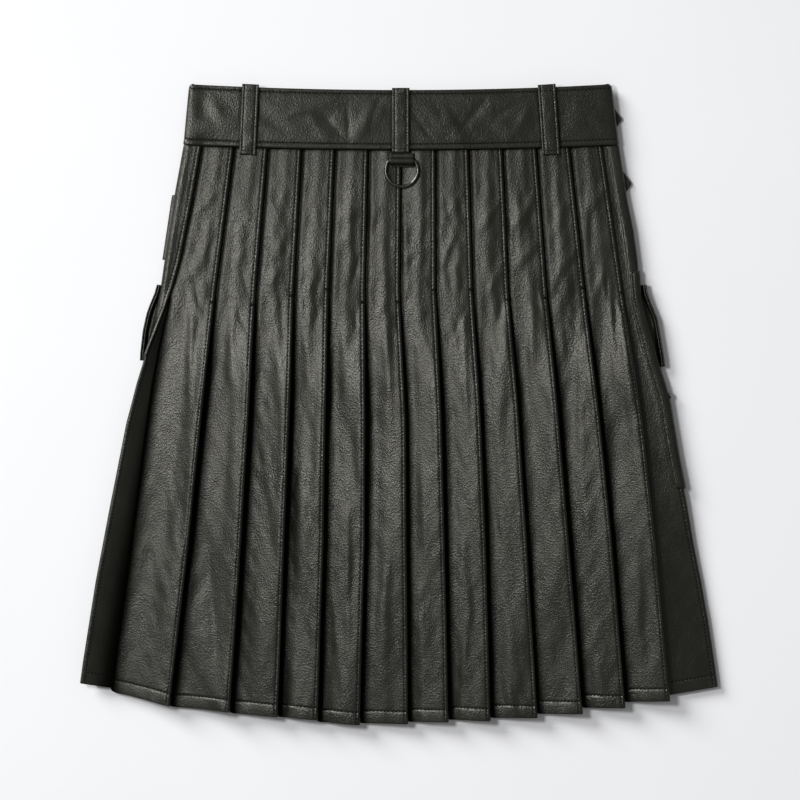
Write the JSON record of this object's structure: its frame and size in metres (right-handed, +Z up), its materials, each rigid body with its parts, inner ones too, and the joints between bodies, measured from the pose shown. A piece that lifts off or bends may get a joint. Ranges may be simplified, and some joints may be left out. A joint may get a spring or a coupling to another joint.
{
  "type": "leather utility kilt",
  "caption": "Black leather utility kilt lying flat, back up: waistband with belt loops and a D-ring over stitched knife pleats, cargo pockets at the sides.",
  "frame": {"origin": "middle of the outline box of the kilt, on the table it lies on", "axes": "+Z up from the table, +Y towards the waist, +X towards the wearer's right; the back of the kilt faces up"},
  "size_m": [0.6162, 0.6186, 0.0197],
  "materials": {
    "leather": "pebbled semi-matt",
    "strap_leather": "smooth semi-matt",
    "thread": "waxed thread",
    "gunmetal": "dark polished plating"
  },
  "bodies": {
    "kilt": {"belt_loop_centre": "leather", "belt_loop_left": "leather", "belt_loop_right": "leather", "buckle_lower": "gunmetal", "buckle_upper": "gunmetal", "d_ring_tab": "leather", "hip_patch_left": "leather", "over_apron": "leather", "pleat_00": "leather", "pleat_01": "leather", "pleat_02": "leather", "pleat_03": "leather", "pleat_04": "leather", "pleat_05": "leather", "pleat_06": "leather", "pleat_07": "leather", "pleat_08": "leather", "pleat_09": "leather", "pleat_10": "leather", "pleat_11": "leather", "pleat_12": "leather", "pleat_13": "leather", "pocket_flap_left": "leather", "pocket_flap_right": "leather", "pocket_left": "leather", "pocket_right": "leather", "strap_lower": "strap_leather", "strap_upper": "strap_leather", "stud_left": "gunmetal", "stud_right": "gunmetal", "under_apron": "leather", "waistband_back": "leather", "waistband_over": "leather", "waistband_under": "leather"},
    "d_ring": {"d_ring": "gunmetal"}
  },
  "joints": [
    {"name": "d_ring_swing", "type": "hinge", "parent": "kilt", "child": "d_ring", "pos_m": [0.00222, 0.23452, 0.01305], "axis": [-1, 0, 0], "range_deg": [0, 165]}
  ]
}
